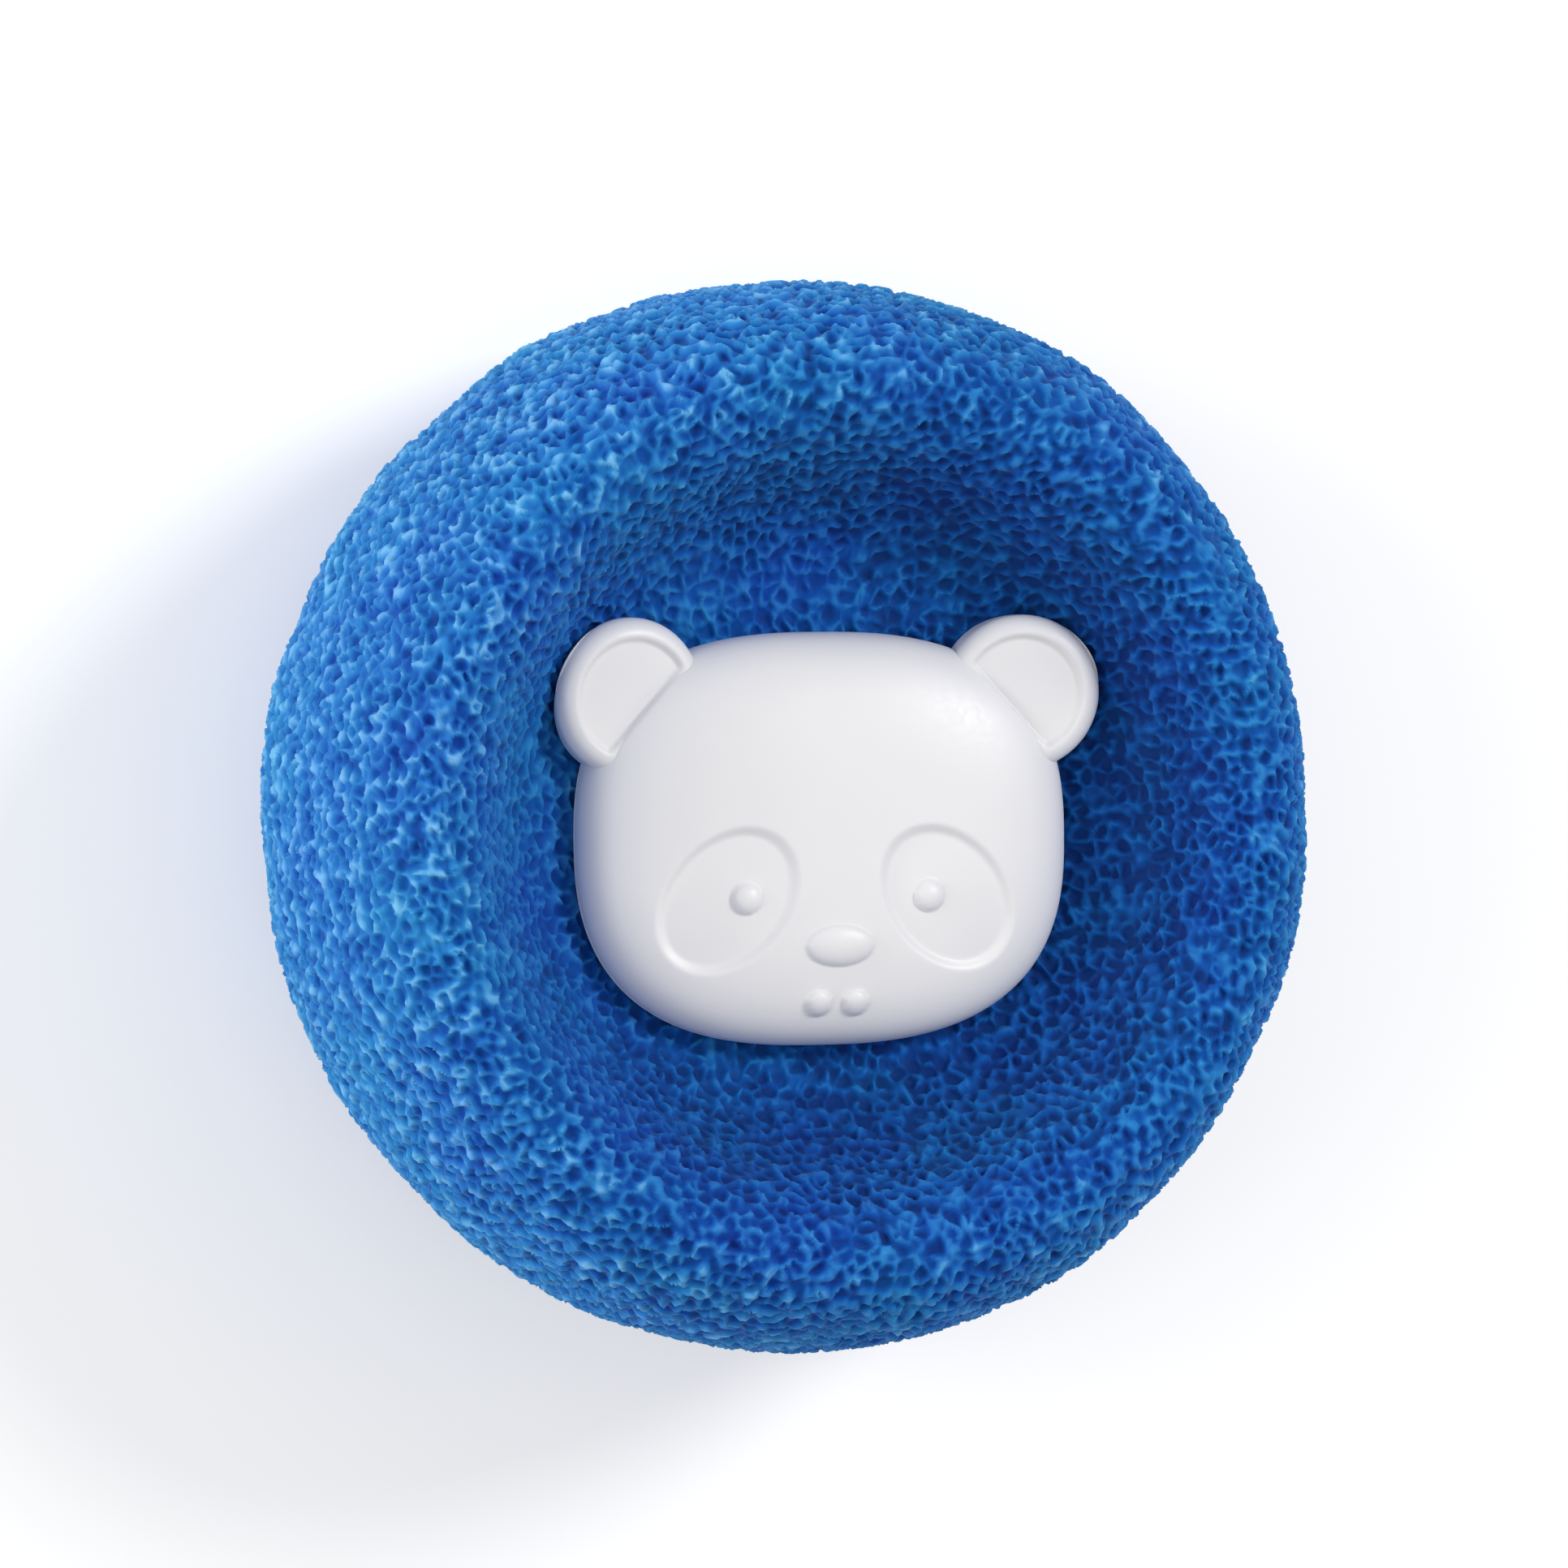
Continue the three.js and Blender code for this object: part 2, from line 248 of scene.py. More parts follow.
# soft cut shape: outside the bowls it is a little taller than wide, with one bulge and long lumps, and the
# rear crest stops at the floor
def settleFoam(point, normal):
    turn = np.arctan2(point[..., 1], point[..., 0])
    radius = np.hypot(point[..., 0], point[..., 1])
    outer = smoothStep(foam["loose"], foam["radius"], radius)
    place, width, rise = foam["bulge"]
    offset = (turn - math.radians(place) + np.pi) % (2 * np.pi) - np.pi
    bulge = rise * np.exp(-(offset / math.radians(width)) ** 2)
    swell = outer * (bulge - foam["outOfRound"] * foam["radius"] * np.cos(2 * turn))
    flat = np.stack([np.cos(turn), np.sin(turn), np.zeros_like(turn)], -1)
    shaped = point + flat * swell[..., None] + normal * (outer * foam["lumps"] * lumps(point))[..., None]
    shaped[..., 2] = np.maximum(shaped[..., 2], -foam["stand"])
    return shaped


cubeFactors = (73856093, 19349663, 83492791)       # these scatter a cube's three numbers
mixSteps = ((15, 0x2c1b3c6d), (12, 0x297a2d39))    # shifts and factors that mix them further
lowBits = 0xffffffff


# nearest and second nearest distance, in cubes, to a cloud of points, one at a random place in each cube
def cellDistances(points, size, seed):
    scaled = points / size
    home = np.floor(scaled).astype(np.int64)
    nearest = np.full(len(points), 9.0)
    second = nearest.copy()
    for step in itertools.product((-1, 0, 1), repeat=3):
        cell = home + step
        x, y, z = (cell * cubeFactors).T
        mix = (x ^ y ^ z ^ seed) & lowBits
        for shift, factor in mixSteps:
            mix = (mix ^ (mix >> shift)) * factor & lowBits
        mix ^= mix >> 15
        place = np.stack([mix & 1023, (mix >> 10) & 1023, (mix >> 20) & 1023], -1) / 1024
        distance = np.linalg.norm(scaled - cell - place, axis=1)
        second = np.minimum(second, np.maximum(nearest, distance))
        nearest = np.minimum(nearest, distance)
    return nearest, second


# cell walls of the foam: a bell curve of the gap between the two distances, 1 where two cells meet and 0 in
# the pores, times an uneven height
def cellWalls(points):
    nearest, second = cellDistances(points, foam["pore"], foam["poreSeed"])
    height, spread = foam["wallTop"]
    top = height + spread * np.clip(breaks(points), -1.5, 1)
    return np.exp(-((second - nearest) / foam["wall"]) ** 2) * top


# change of tone: painted light towards one side and a little painted shade opposite, most at the foot of
# the caps; painted shade in the bowls, less so on the paler side and at the foot; and random patches
def paintedLightAndMottle(point):
    x, y = point[..., 0], point[..., 1]
    pressed = pressedShare(point)
    foot = 1 - smoothStep(*foam["foot"], np.hypot(x, y))
    place, gain, opposite, footGain = foam["paintedSideLight"]
    place = math.radians(place)
    towards = (x * math.cos(place) + y * math.sin(place)) / foam["radius"]
    paler, deeper = np.maximum(towards, 0), np.minimum(towards, 0)
    # painted light towards one side and painted shade on the other, most at the foot of the caps
    paintedSideLight = gain * (paler + opposite * deeper + footGain * foot * towards)
    # painted shade in the bowls, less on the paler side and at the foot
    shade = foam["bowlShade"] * pressed * (1 - foam["footSpared"] * foot) * (1 - paler)
    patches = foam["mottle"] * mottle(point) * (1 - foam["even"] * pressed)
    return paintedSideLight - shade + patches


# sponge: the section turned about the axis, closed both ways, and sunk between the cell walls; its pores
# are painted darker than the walls, as painted shade deep in the open cells, and the walls take less
# painted shade
def makeFoam():
    rows = int(sectionAlong[-1] / foam["step"])
    along = np.arange(rows) * sectionAlong[-1] / rows
    turn = np.arange(foam["turns"]) * 2 * np.pi / foam["turns"]
    point, normal = onFoam(along[:, None], turn[None, :])
    point, normal = point.reshape(-1, 3), normal.reshape(-1, 3)
    wall = cellWalls(point)
    free = 1 - foam["flatten"] * pressedShare(point)
    shaped = settleFoam(point, normal) + normal * (foam["poreDepth"] * free * (wall - 1))[:, None]
    shaped[:, 2] = np.maximum(shaped[:, 2], -foam["stand"])
    quads = gridQuads(rows, foam["turns"], loopRows=True)[:, ::-1]
    poreTone, wallTone = foam["tone"]
    shift = paintedLightAndMottle(point)
    # the pores' darker tone is painted shade, and the walls take less of the painted shade
    tone = poreTone + wallTone * free * wall + shift - foam["wallKeeps"] * wall * np.minimum(shift, 0)
    return makePiece("foam_sponge", shaped, quads, tone=tone)


sponge = makeFoam()
print("foam:", len(sponge.data.polygons), "faces")

# bear cap, in mm, placed from the middle of the head
cap = {
    "headDrop": 1.1,         # from the post down to the middle of the head
    "halfWidth": 15.4,
    "halfHeight": 12.5,
    "squareness": 2.6,
    "crownPower": 3.0,
    "crownAboveEars": 1.8,
    "flatShare": 0.95,       # the crown bends down to the rim beyond this share of the way out
    "shellWall": 1.6,
    "clearance": 0.5,        # 0.1 more than the solid's, whose bowl runs in straight steps above this curve
    "around": 360,           # mesh steps round the head
    "ear": 4.75,
    "earPlace": (12.15, 8.6),
    "earLean": 12.0,
    "earTip": 1.1,
    "earRound": 1.15,
    "earAround": 144,
    "earLift": 0.02,                 # keeps the ears' backs off the level of the shell's rim
    "earFade": (0.8, 0.88),          # shares of the way out between which an ear leaves the shell's wall
    "recess": (3.55, 0.2, 0.4),      # radius, softness of its edge, depth
    "recessSink": 0.05,              # the head lies this much under the recess's floor
    "crease": (13.8, 42.0, 0.14),    # straight edge of the recess: reach, turn and softness
    "patch": (4.65, 3.5, 47.0),      # half length, half width, tilt
    "patchPlace": (6.85, -3.5),
    "patchDepth": 0.4,
    "patchEdge": 0.32,
    "eye": 0.95,
    "eyePlace": (5.7, -3.4),
    "eyeRise": 0.6,
    "nose": (2.1, 1.25, 0.6),        # half width, half height, rise
    "nosePlace": -6.3,
    "lip": 0.8,
    "lipPlace": (1.15, -9.8),
    "lipRise": 0.5,
    "rimBreak": 0.1,
    "socket": (2.6, 4.1, 1.1),       # bore, outside and end height
    "socketBreak": 0.2,
    "groove": (0.35, 0.7, 3.0),      # for the post's bead: depth, half width, place from the bore's end
    "rib": 1.0,
    "ribFoot": 9.6,
    "ribReach": 11.5,
    "ribSink": (0.3, 0.4),           # into the socket and into the crown
    "ribEnd": 1.03,                  # share of the way to the inner outline, inside the shell's wall
    "ribThin": 0.05,                 # least height
    "ribTurns": (45, 135, 225, 315),
}
headMiddle = -cap["headDrop"]


# height of the bowl at a radius, along its wall's cubic curve
def bowlHeight(radius):
    wallRadius, wallHeight = bowlCurve(np.linspace(0, 1, 80))
    return np.interp(radius, wallRadius, np.minimum(wallHeight, foam["stand"]))


earLean = math.radians(cap["earLean"])
earMiddle = np.array([cap["earPlace"][0], headMiddle + cap["earPlace"][1]])
earTipReach = np.hypot(*earMiddle) + cap["ear"] * math.cos(earLean)
earTipFront = bowlHeight(earTipReach) + cap["clearance"] + cap["earTip"]
earFront = earTipFront - cap["ear"] * math.sin(earLean)
crownTop = earFront + cap["crownAboveEars"]
socketTop = crownTop - cap["shellWall"]


# distance from the head's middle to a superellipse outline
def headReach(angle, inset=0.0):
    a, b, n = cap["halfWidth"] - inset, cap["halfHeight"] - inset, cap["squareness"]
    return (np.abs(np.cos(angle) / a) ** n + np.abs(np.sin(angle) / b) ** n) ** (-1 / n)


# height of the crown at a share of the way to the outline, as a superellipse section up to top
def crownHeight(share, top):
    floorHeight = foam["floor"][1]
    n = cap["crownPower"]
    return floorHeight + (top - floorHeight) * np.clip(1 - share ** n, 0, 1) ** (1 / n)


# relief of the face over the crown: sunk tilted ovals with a smooth step at the edge, and eyes, lips and an
# oval nose that are half ellipses in section
def faceRelief(x, y):
    along, across, tilt = cap["patch"]
    c, s = math.cos(math.radians(tilt)), math.sin(math.radians(tilt))
    edge = cap["patchEdge"] / across
    dome = lambda d: np.sqrt(np.clip(1 - d * d, 0, 1))
    relief = np.zeros_like(x)
    for side in (-1, 1):
        u, v = side * x - cap["patchPlace"][0], y - cap["patchPlace"][1]
        patch = np.hypot((u * c - v * s) / along, (u * s + v * c) / across)
        eye = np.hypot(side * x - cap["eyePlace"][0], y - cap["eyePlace"][1]) / cap["eye"]
        lip = np.hypot(side * x - cap["lipPlace"][0], y - cap["lipPlace"][1]) / cap["lip"]
        relief -= cap["patchDepth"] * (1 - smoothStep(1 - edge, 1 + edge, patch))
        relief += cap["eyeRise"] * dome(eye)
        relief += cap["lipRise"] * dome(lip)
    wide, tall, rise = cap["nose"]
    return relief + rise * dome(np.hypot(x / wide, (y - cap["nosePlace"]) / tall))


# front plane of an ear, which rises outwards with its lean
def earPlane(x, y, side):
    outX, outY = side * earMiddle[0], earMiddle[1]
    out = ((x - outX) * outX + (y - outY) * outY) / math.hypot(outX, outY)
    return earFront + out * math.tan(earLean)


# lowers heights to the floor of the ears' recesses: inside a circle, and beyond a straight edge along
# the head
def cutRecess(x, y, z, sink=0.0):
    radius, soft, depth = cap["recess"]
    reach, turn, edge = cap["crease"]
    c, s = math.cos(math.radians(turn)), math.sin(math.radians(turn))
    for side in (-1, 1):
        spread = np.hypot(x - side * earMiddle[0], y - earMiddle[1])
        past = side * x * c + (y - headMiddle) * s - reach
        share = (1 - smoothStep(radius - soft, radius + soft, spread)) * smoothStep(-edge, edge, past)
        floorHeight = earPlane(x, y, side) - depth - sink
        z = z - share * np.maximum(z - floorHeight, 0)
    return z


# shell of the cap as rings of distance and height round the head's middle: out over the crown to the rim,
# under it and up the inner wall, in to the socket, down its outside and up its grooved bore to the end
def shellRings(angle):
    c, s = np.cos(angle), np.sin(angle)
    outline, inner = headReach(angle), headReach(angle, cap["shellWall"])
    boreRadius, tubeRadius, tubeEnd = cap["socket"]
    grooveDepth, grooveHalf, groovePlace = cap["groove"]
    rimBreak, tubeBreak = cap["rimBreak"], cap["socketBreak"]
    power, flatShare = cap["crownPower"], cap["flatShare"]
    reachTo = lambda r: -headMiddle * s + np.sqrt(r * r - (headMiddle * c) ** 2)  # a circle about the post
    seat = lambda d: bowlHeight(np.hypot(d * c, d * s + headMiddle)) + cap["clearance"]
    level = lambda z: np.full_like(angle, z)
    rings = []
    flat = np.linspace(0, flatShare, 150)[1:]
    bend = np.linspace(math.asin(flatShare ** (power / 2)), math.pi / 2 - 0.02, 18)[1:]
    for share in np.concatenate([flat, np.sin(bend) ** (2 / power)]):
        d = share * outline
        z = crownHeight(share, crownTop) + faceRelief(d * c, d * s)
        z = cutRecess(d * c, d * s + headMiddle, z, cap["recessSink"])
        rings.append((d, np.maximum(z, seat(d))))
    rings.append((outline - rimBreak, seat(outline)))
    rings.append((inner + rimBreak, seat(inner)))
    rim, stop = 0.998, reachTo(tubeRadius) / inner
    for share in np.linspace(0, 1, 16) ** 1.5:
        part = rim + (stop - rim) * share
        rings.append((part * inner, np.maximum(crownHeight(part, socketTop), seat(part * inner))))
    top = crownHeight(stop, socketTop)
    for share in np.linspace(0, 1, 8)[1:]:
        rings.append((reachTo(tubeRadius), top + (tubeEnd + tubeBreak - top) * share))
    rings.append((reachTo(tubeRadius - tubeBreak), level(tubeEnd)))
    rings.append((reachTo(boreRadius + tubeBreak), level(tubeEnd)))
    for depth in np.linspace(tubeEnd + tubeBreak, socketTop, 26):
        away = abs(socketTop - groovePlace - depth)
        groove = grooveDepth * (1 - smoothStep(grooveHalf, 2 * grooveHalf, away))
        rings.append((reachTo(boreRadius + groove), level(depth)))
    rings.append((reachTo(boreRadius) * 0.5, level(socketTop)))
    return np.stack([r[0] for r in rings]), np.stack([r[1] for r in rings])


# grid that runs out of one pole and into another: quads between its rows, and a fan at each end
def poleToPole(rows, columns):
    quads = gridQuads(rows, columns)[:, ::-1]
    first = poleTriangles(rows * columns, 0, columns, True)
    last = poleTriangles(rows * columns + 1, (rows - 1) * columns, columns, False)
    return quads, np.concatenate([first, last])


# shell: its rings as x, y and height, from a pole on the crown to a pole at the end of the socket's bore
def capShell():
    columns = cap["around"]
    angle = np.arange(columns) * 2 * np.pi / columns
    distance, height = shellRings(angle)
    x, y = distance * np.cos(angle), distance * np.sin(angle) + headMiddle
    points = np.stack([x, y, height], -1).reshape(-1, 3)
    poles = np.array([[0, headMiddle, crownTop], [0, headMiddle, socketTop]])
    return np.concatenate([points, poles]), *poleToPole(len(distance), columns)


# ear: a disc turned about its own leaning axis, with a rounded edge and the recess cut into it; its side
# runs down to the bowl and its back follows the bowl, and what lies inside the head is drawn into the
# shell's wall
def capEar(side):
    columns = cap["earAround"]
    angle = np.arange(columns) * 2 * np.pi / columns
    flatRadius = cap["ear"] - cap["earRound"]
    disc = np.linspace(0, flatRadius, 34)[1:-1]
    quarter = np.linspace(0, np.pi / 2, 14)
    radius = np.concatenate([disc, flatRadius + cap["earRound"] * np.sin(quarter)])[:, None]
    depth = np.concatenate([np.zeros_like(disc), cap["earRound"] * (np.cos(quarter) - 1)])[:, None]
    local = np.stack([radius * np.cos(angle), radius * np.sin(angle), depth + 0 * angle], -1)
    middle = Vector((side * earMiddle[0], earMiddle[1], 0))
    lean = np.array(Matrix.Rotation(-earLean, 3, Vector((-middle.y, middle.x, 0)).normalized()))
    front = local @ lean.T + (middle.x, middle.y, earFront)
    lift = cap["clearance"] + cap["earLift"]
    seatUnder = lambda p: bowlHeight(np.hypot(p[..., 0], p[..., 1])) + lift
    edge = front[-1]
    sideShares = np.array([0.3, 0.6, 0.9, 1.0])
    sideRows = np.repeat(edge[None], len(sideShares), 0)
    sideRows[..., 2] += (seatUnder(edge) - edge[:, 2]) * sideShares[:, None]
    inward = np.array([middle.x, middle.y, 0]) - edge * (1, 1, 0)
    backShares = np.linspace(0.06, 0.9, 8)
    backRows = edge[None] + inward * backShares[:, None, None]
    backRows[..., 2] = seatUnder(backRows)
    rows = len(front) + len(sideRows) + len(backRows)
    poles = np.array([[middle.x, middle.y, earFront], [middle.x, middle.y, 0]])
    poles[1, 2] = seatUnder(poles[1])
    top = np.concatenate([front.reshape(-1, 3), poles[:1]])
    top[:, 2] = cutRecess(top[:, 0], top[:, 1], top[:, 2])
    under = np.concatenate([sideRows, backRows]).reshape(-1, 3)
    points = np.concatenate([top[:-1], under, top[-1:], poles[1:]])
    x, y = points[:, 0], points[:, 1] - headMiddle
    share = np.hypot(x, y) / headReach(np.arctan2(y, x))
    inside = 1 - smoothStep(*cap["earFade"], share)
    wallMiddle = crownHeight(np.minimum(share, 1), crownTop) - cap["shellWall"] / 2
    points[:, 2] += (wallMiddle - points[:, 2]) * inside
    return points, *poleToPole(rows, columns)


# rib: a thin wall from the socket to the shell at one angle, with its top in the crown and a level foot
def capRib(turn):
    tubeRadius = cap["socket"][1]
    intoTube, intoCrown = cap["ribSink"]
    out = np.linspace(tubeRadius - intoTube, cap["ribReach"], 24)
    c, s = math.cos(turn), math.sin(turn)
    x, y = out * c, out * s - headMiddle
    share = np.hypot(x, y) / headReach(np.arctan2(y, x), cap["shellWall"])
    keep = share < cap["ribEnd"]
    out, share = out[keep], share[keep]
    top = crownHeight(np.minimum(share, 1), socketTop) + intoCrown
    foot = np.minimum(np.full_like(out, cap["ribFoot"]), top - cap["ribThin"])
    half = cap["rib"] / 2
    profile = np.array([[-half, 0], [half, 0], [half, 1], [-half, 1]])
    span = foot[:, None] + (top - foot)[:, None] * profile[None, :, 1]
    points = np.stack([
        out[:, None] * c - profile[None, :, 0] * s,
        out[:, None] * s + profile[None, :, 0] * c,
        span,
    ], -1).reshape(-1, 3)
    last = (len(out) - 1) * 4
    ends = np.array([[0, 1, 2, 3], [last + 3, last + 2, last + 1, last]])
    return points, np.concatenate([gridQuads(len(out), 4)[:, ::-1], ends]), np.zeros((0, 3), int)


# joins closed surfaces into one list of points and faces
def joinSurfaces(parts):
    points, quads, triangles, start = [], [], [], 0
    for p, q, t in parts:
        points.append(p)
        quads.append(q + start)
        triangles.append(t + start)
        start += len(p)
    return np.concatenate(points), np.concatenate(quads), np.concatenate(triangles)


# cap: shell, both ears and the ribs; the rear one has half a turn about Y
def makeCap(name, turnOver):
    parts = [capShell(), capEar(-1), capEar(1)]
    parts += [capRib(math.radians(turn)) for turn in cap["ribTurns"]]
    points, quads, triangles = joinSurfaces(parts)
    if turnOver:
        points = points * (-1, 1, -1)
    return makePiece(name, points, quads, triangles)


frontCap = makeCap("front_bear_moulding", False)
rearCap = makeCap("rear_bear_moulding", True)
print("caps:", len(frontCap.data.polygons), "faces each")

# snap post, in mm: a collar between the caps and, at each end, two prongs with a slit between them
snapPost = {
    "radius": 2.3,
    "collar": (4.1, 0.8),        # radius and half thickness
    "slit": (0.4, 5.5),          # half width and depth
    "tip": 0.6,                  # rounding of the prongs' ends
    "bead": (0.2, 0.7, 2.6),     # height, half width, and place from the end
    "edge": 0.12,                # rounding of the collar
    "root": (0.3, 0.1),          # the prongs go this deep into the body, and draw in there
    "around": 96,
}
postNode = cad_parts["centre_post"]
postEnd = max(corner[2] for corner in postNode.bound_box) / mm - midHeight


# outline whose inner corners are quadratic curves that start and end one edge away from the corner
def roundCorners(corners, edge, steps=6):
    corners = np.array(corners)
    t = np.linspace(0, 1, steps)[:, None]
    runs = [corners[:1]]
    for before, corner, after in zip(corners, corners[1:], corners[2:]):
        start = corner + (before - corner) * edge / np.linalg.norm(before - corner)
        stop = corner + (after - corner) * edge / np.linalg.norm(after - corner)
        runs.append(start * (1 - t) ** 2 + 2 * corner * t * (1 - t) + stop * t * t)
    return np.concatenate([*runs, corners[-1:]])


# body of the post: an outline of radius and height, from the floor of one slit round the collar to the
# floor of the other, turned about the axis
def postBody():
    radius = snapPost["radius"]
    collarRadius, collarHalf = snapPost["collar"]
    slitFloor = postEnd - snapPost["slit"][1]
    inmost = 0.5  # radius of the first ring round the pole
    upper = [(inmost, slitFloor), (radius, slitFloor), (radius, collarHalf), (collarRadius, collarHalf)]
    lower = [(r, -z) for r, z in reversed(upper)]
    outline = roundCorners(upper + lower, snapPost["edge"])
    columns = snapPost["around"]
    angle = np.arange(columns) * 2 * np.pi / columns
    r, z = outline[:, :1], outline[:, 1:]
    points = np.stack([r * np.cos(angle), r * np.sin(angle), z + 0 * angle], -1).reshape(-1, 3)
    poles = np.array([[0, 0, slitFloor], [0, 0, -slitFloor]])
    return np.concatenate([points, poles]), *poleToPole(len(outline), columns)


# prong: rings of an arc closed by the slit's straight side, with the two corners cut a little; their radius
# follows a round tip and a bead that is one wave of a cosine
def postProng():
    radius, tip = snapPost["radius"], snapPost["tip"]
    slitHalf, slitDepth = snapPost["slit"]
    beadHeight, beadHalf, beadPlace = snapPost["bead"]
    rootDepth, rootDraw = snapPost["root"]
    quarter = np.linspace(np.pi / 2, 0, 12)
    wave = np.linspace(1, -1, 25)
    slitFloor = postEnd - slitDepth
    r = np.concatenate([
        radius - tip + tip * np.cos(quarter),
        radius + beadHeight * (0.5 + 0.5 * np.cos(np.pi * wave)),
        [radius, radius - rootDraw],
    ])[:, None]
    z = np.concatenate([
        postEnd - tip + tip * np.sin(quarter),
        postEnd - beadPlace + beadHalf * wave,
        [slitFloor, slitFloor - rootDepth],
    ])[:, None]
    arcEnd, arcHold = 0.985, 0.97  # shares of half the arc, and of half the straight side
    sideEnd, sideHold = 0.97, 0.92
    arc = np.concatenate([[-arcEnd], np.linspace(-arcHold, arcHold, 62), [arcEnd]])
    straight = np.concatenate([[sideEnd], np.linspace(sideHold, -sideHold, 12), [-sideEnd]])
    widest = np.arccos(slitHalf / r)
    x = np.concatenate([r * np.cos(widest * arc), slitHalf + 0 * r * straight], 1)
    y = np.concatenate([r * np.sin(widest * arc), r * np.sin(widest) * straight], 1)
    rings = np.stack([x, y, z + 0 * x], -1)
    middle = np.array([(slitHalf + radius - tip) / 2, 0, 0])
    poles = middle + np.array([[0, 0, postEnd], [0, 0, slitFloor - rootDepth]])
    endHold = 0.93  # keeps the end flat up to its edge
    inset = poles[0] + (rings[:1] - poles[0]) * endHold
    rings = np.concatenate([inset, rings])
    points = np.concatenate([rings.reshape(-1, 3), poles])
    return points, *poleToPole(len(rings), rings.shape[1])


# post: its body, and one prong with its half turns about Z, Y and X
def makePost():
    points, quads, triangles = postProng()
    turns = ((1, 1, 1), (-1, -1, 1), (-1, 1, -1), (1, -1, -1))
    prongs = [(points * turn, quads, triangles) for turn in turns]
    return makePiece("snap_post_moulding", *joinSurfaces([postBody(), *prongs]))


post = makePost()
print("post:", len(post.data.polygons), "faces")


# empty material with one shader on its output
def newMaterial(name):
    material = bpy.data.materials.new(name)
    material.use_nodes = True
    tree = material.node_tree
    tree.nodes.clear()
    output = tree.nodes.new("ShaderNodeOutputMaterial")
    shader = tree.nodes.new("ShaderNodeBsdfPrincipled")
    tree.links.new(shader.outputs["BSDF"], output.inputs["Surface"])
    return material, tree, shader


# node with values on its sockets, whose names are written with _ for a space
def addNode(tree, kind, **values):
    node = tree.nodes.new(kind)
    for key, value in values.items():
        node.inputs[key.replace("_", " ")].default_value = value
    return node


# noise on Object coordinates
def addNoise(tree, coords, scale, detail):
    noise = addNode(tree, "ShaderNodeTexNoise", Scale=scale, Detail=detail)
    tree.links.new(coords.outputs["Object"], noise.inputs["Vector"])
    return noise


# spreads the middle of a noise over low to high
def addRange(tree, noise, low, high):
    spread = addNode(tree, "ShaderNodeMapRange", From_Min=0.3, From_Max=0.7, To_Min=low, To_Max=high)
    tree.links.new(noise.outputs["Fac"], spread.inputs["Value"])
    return spread


# ramp with a colour at each place
def addRamp(tree, stops):
    node = tree.nodes.new("ShaderNodeValToRGB")
    ramp = node.color_ramp
    while len(ramp.elements) < len(stops):
        ramp.elements.new(1.0)
    for element, (place, colour) in zip(ramp.elements, stops):
        element.position = place
        element.color = (*colour, 1)
    return node


# a noise as small bumps on a shader
def addBump(tree, noise, shader, strength, distance):
    bump = addNode(tree, "ShaderNodeBump", Strength=strength, Distance=distance)
    tree.links.new(noise.outputs["Fac"], bump.inputs["Height"])
    tree.links.new(bump.outputs["Normal"], shader.inputs["Normal"])


foamFinish = {
    "stops": [
        # tone and colour
        (0.0, (0.001, 0.025, 0.17)),
        (0.35, (0.002, 0.08, 0.38)),
        (0.7, (0.022, 0.21, 0.56)),
        (1.0, (0.16, 0.45, 0.78)),
    ],
    "hueScale": 110.0,
    "hue": (0.491, 0.508),    # 0.5 leaves the colour as it is
    "grainScale": 4200.0,
    "grain": (0.25, 0.00008),
    "roughness": 0.6,
    "specular": 0.08,
    "sheen": (0.4, 0.5, (0.2, 0.54, 1.0)),
}


# foam: its tone picks a blue from the ramp, wide noise turns the hue a little, and fine noise makes a grain
def foamMaterial():
    material, tree, shader = newMaterial("openCellFoamBlue")
    link = tree.links.new
    tone = tree.nodes.new("ShaderNodeAttribute")
    tone.attribute_name = "tone"
    ramp = addRamp(tree, foamFinish["stops"])
    link(tone.outputs["Fac"], ramp.inputs["Fac"])
    coords = tree.nodes.new("ShaderNodeTexCoord")
    patches = addNoise(tree, coords, foamFinish["hueScale"], 2.0)
    shift = addRange(tree, patches, *foamFinish["hue"])
    hue = tree.nodes.new("ShaderNodeHueSaturation")
    link(shift.outputs["Result"], hue.inputs["Hue"])
    link(ramp.outputs["Color"], hue.inputs["Color"])
    link(hue.outputs["Color"], shader.inputs["Base Color"])
    grain = addNoise(tree, coords, foamFinish["grainScale"], 2.0)
    addBump(tree, grain, shader, *foamFinish["grain"])
    weight, spread, tint = foamFinish["sheen"]
    shader.inputs["Roughness"].default_value = foamFinish["roughness"]
    shader.inputs["Specular IOR Level"].default_value = foamFinish["specular"]
    shader.inputs["Sheen Weight"].default_value = weight
    shader.inputs["Sheen Roughness"].default_value = spread
    shader.inputs["Sheen Tint"].default_value = (*tint, 1)
    return material


plasticFinish = {
    "capWhite": ((0.84, 0.83, 0.84), (0.81, 0.805, 0.82)),   # palest and deepest
    "postWhite": ((0.8, 0.79, 0.78), (0.76, 0.755, 0.75)),
    "cloudScale": 90.0,
    "fineScale": 2600.0,
    "roughness": (0.36, 0.46),
    "bump": (0.06, 0.00003),
    "milk": (0.08, (1.0, 0.95, 0.9), 0.0008),   # share of light that goes under the skin, its reach, metres
}


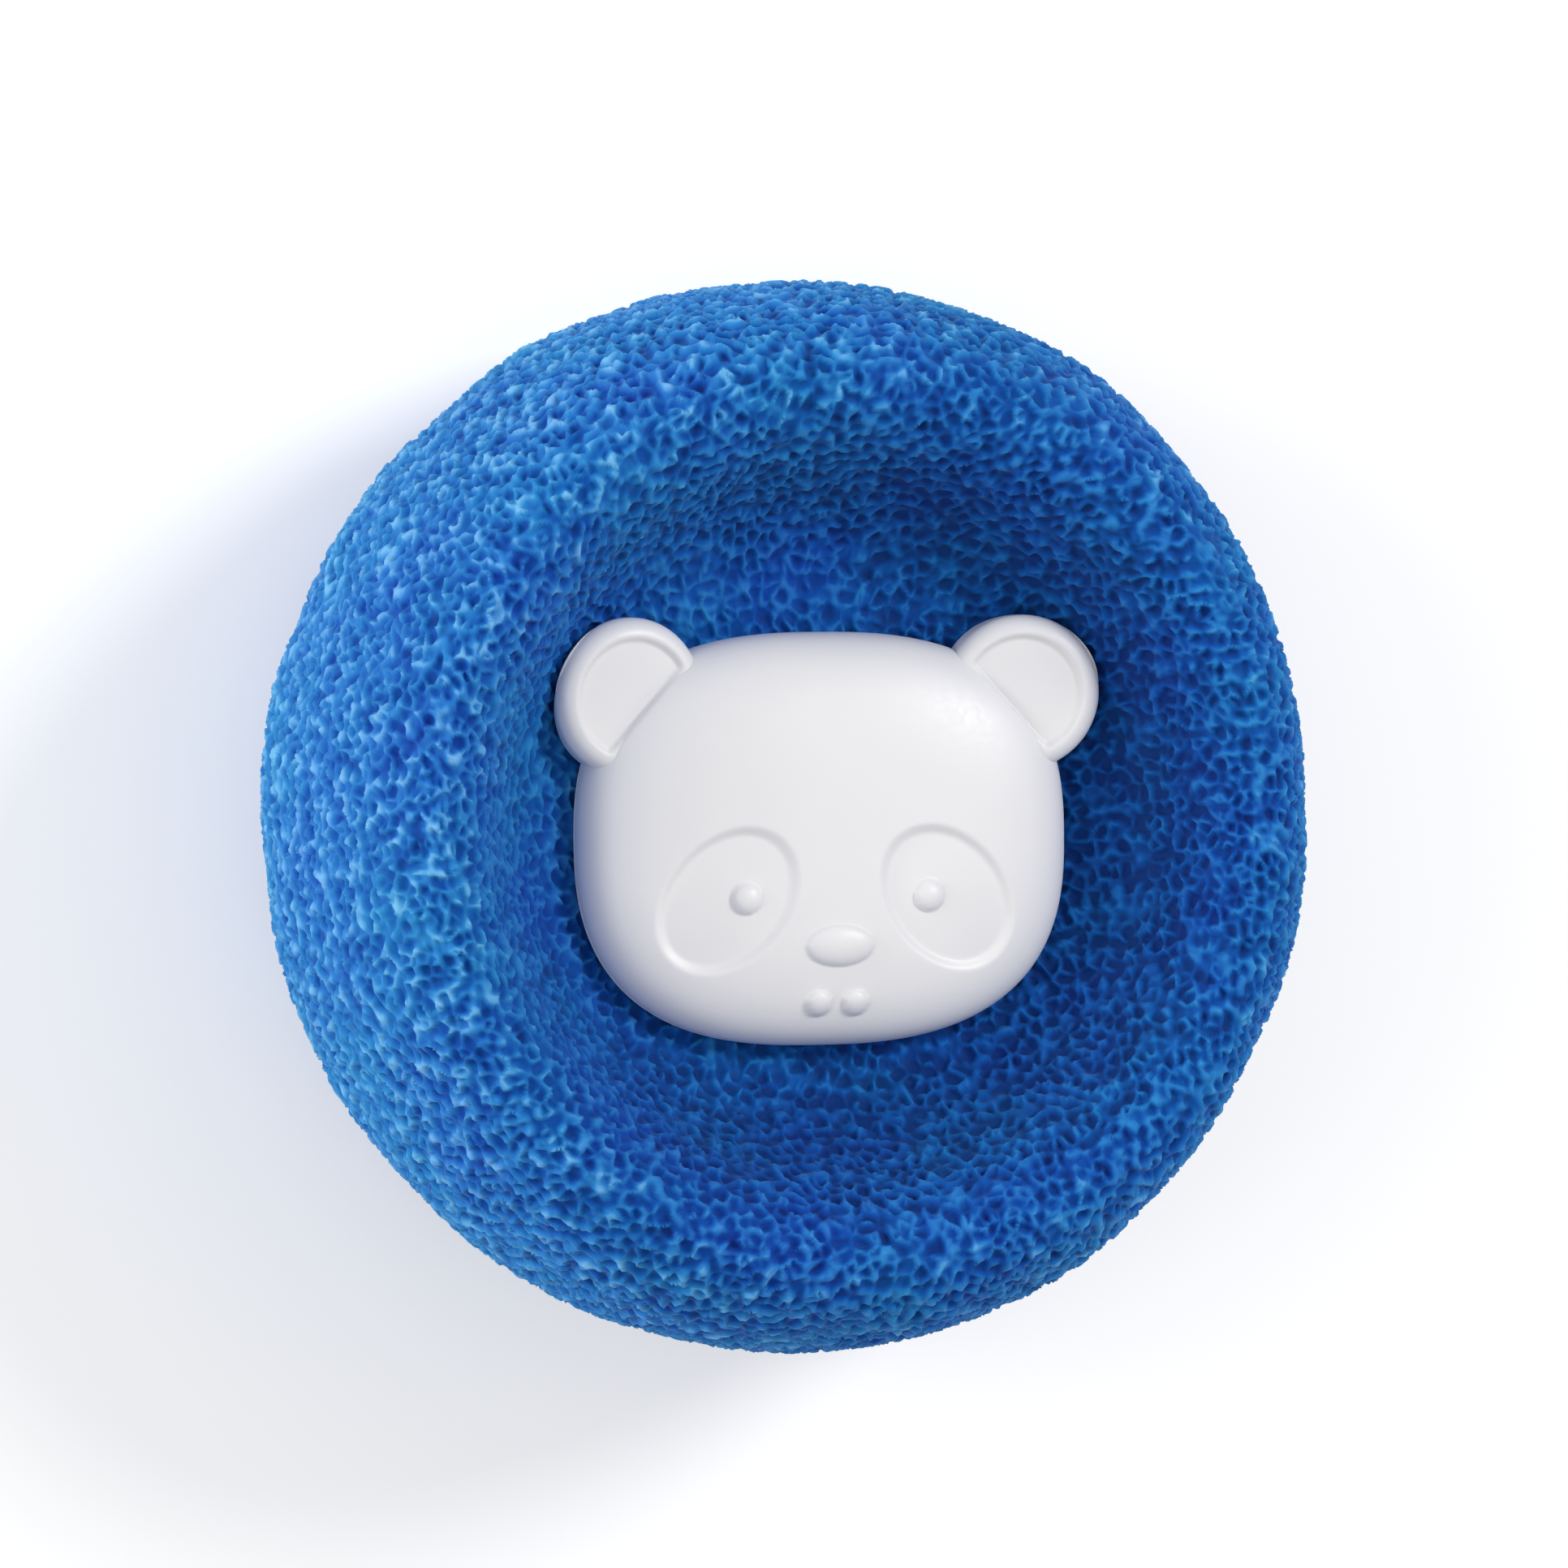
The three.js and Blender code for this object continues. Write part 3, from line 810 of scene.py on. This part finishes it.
# satin plastic: wide noise clouds the white, fine noise varies the gloss and the skin, and a little light
# goes under the skin
def plasticMaterial(name, pale, deep):
    material, tree, shader = newMaterial(name)
    link = tree.links.new
    coords = tree.nodes.new("ShaderNodeTexCoord")
    clouds = addNoise(tree, coords, plasticFinish["cloudScale"], 3.0)
    ramp = addRamp(tree, [(0.3, deep), (0.7, pale)])
    link(clouds.outputs["Fac"], ramp.inputs["Fac"])
    link(ramp.outputs["Color"], shader.inputs["Base Color"])
    fine = addNoise(tree, coords, plasticFinish["fineScale"], 2.0)
    gloss = addRange(tree, fine, *plasticFinish["roughness"])
    link(gloss.outputs["Result"], shader.inputs["Roughness"])
    addBump(tree, fine, shader, *plasticFinish["bump"])
    weight, radius, scale = plasticFinish["milk"]
    shader.inputs["Subsurface Weight"].default_value = weight
    shader.inputs["Subsurface Radius"].default_value = radius
    shader.inputs["Subsurface Scale"].default_value = scale
    return material


foamBlue = foamMaterial()
capWhite = plasticMaterial("capWhitePlastic", *plasticFinish["capWhite"])
postWhite = plasticMaterial("postPlastic", *plasticFinish["postWhite"])

for piece, material, body, node, slot in (
    (sponge, foamBlue, "foam", "foam_ring", "foam"),
    (frontCap, capWhite, "front_cap", "front_bear_cap", "cap"),
    (rearCap, capWhite, "rear_cap", "rear_bear_cap", "cap"),
    (post, postWhite, "core", "centre_post", "post"),
):
    piece.data.materials.append(material)
    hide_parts(node)
    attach(piece, body)
print("materials set")

# floor, world and lamps
studio = {
    "floorHalf": 3.0,   # metres
    "floorColour": (0.85, 0.85, 0.85),
    "floorLift": 0.25,  # what the camera adds to the floor's own white
    "world": 0.54,
    "lamps": {
        # share of full light, metres away, metres wide, and direction from the ball
        "key": (0.46, 0.7, 0.22, (0.57, 0.38, 0.73)),
        "side": (0.46, 0.8, 0.3, (-1.0, 0.25, 0.16)),
        "fill": (0.2, 0.8, 0.5, (-0.75, 0.0, 0.66)),
    },
}


# floor: a wide square of matt paint, plus a little light of its own that only camera and mirror rays see
def makeFloor():
    mesh = bpy.data.meshes.new("floor")
    half = studio["floorHalf"]
    corners = [(-half, -half, 0), (half, -half, 0), (half, half, 0), (-half, half, 0)]
    mesh.from_pydata(corners, [], [(0, 1, 2, 3)])
    floor = bpy.data.objects.new("floor", mesh)
    bpy.context.scene.collection.objects.link(floor)
    material = bpy.data.materials.new("paleFloor")
    material.use_nodes = True
    tree = material.node_tree
    tree.nodes.clear()
    link = tree.links.new
    output = tree.nodes.new("ShaderNodeOutputMaterial")
    paint = addNode(tree, "ShaderNodeBsdfDiffuse", Color=(*studio["floorColour"], 1))
    lift = addNode(tree, "ShaderNodeEmission", Color=(1, 1, 1, 1))
    path = tree.nodes.new("ShaderNodeLightPath")
    seen = tree.nodes.new("ShaderNodeMath")
    seen.operation = "MAXIMUM"
    link(path.outputs["Is Camera Ray"], seen.inputs[0])
    link(path.outputs["Is Glossy Ray"], seen.inputs[1])
    strength = tree.nodes.new("ShaderNodeMath")
    strength.operation = "MULTIPLY"
    strength.inputs[1].default_value = studio["floorLift"]
    link(seen.outputs[0], strength.inputs[0])
    link(strength.outputs[0], lift.inputs["Strength"])
    both = tree.nodes.new("ShaderNodeAddShader")
    link(paint.outputs["BSDF"], both.inputs[0])
    link(lift.outputs["Emission"], both.inputs[1])
    link(both.outputs["Shader"], output.inputs["Surface"])
    mesh.materials.append(material)


# white world, and disc lamps at their distance along their direction, turned to the ball
def makeLights():
    world = bpy.data.worlds.new("studioWorld")
    bpy.context.scene.world = world
    world.use_nodes = True
    world.node_tree.nodes["Background"].inputs["Color"].default_value = (1, 1, 1, 1)
    world.node_tree.nodes["Background"].inputs["Strength"].default_value = studio["world"]
    centre = Vector((0, 0, midHeight)) * mm
    for name, (share, away, wide, direction) in studio["lamps"].items():
        direction = Vector(direction).normalized()
        data = bpy.data.lights.new(name, "AREA")
        data.shape = "DISK"
        data.size = wide
        data.energy = share * math.pi ** 2 * away ** 2  # this much makes white white at full share
        lamp = bpy.data.objects.new(name, data)
        lamp.location = centre + direction * away
        lamp.rotation_euler = direction.to_track_quat("Z", "Y").to_euler()
        bpy.context.scene.collection.objects.link(lamp)


makeFloor()
makeLights()
bpy.context.scene.view_settings.view_transform = "Standard"
print("studio set")
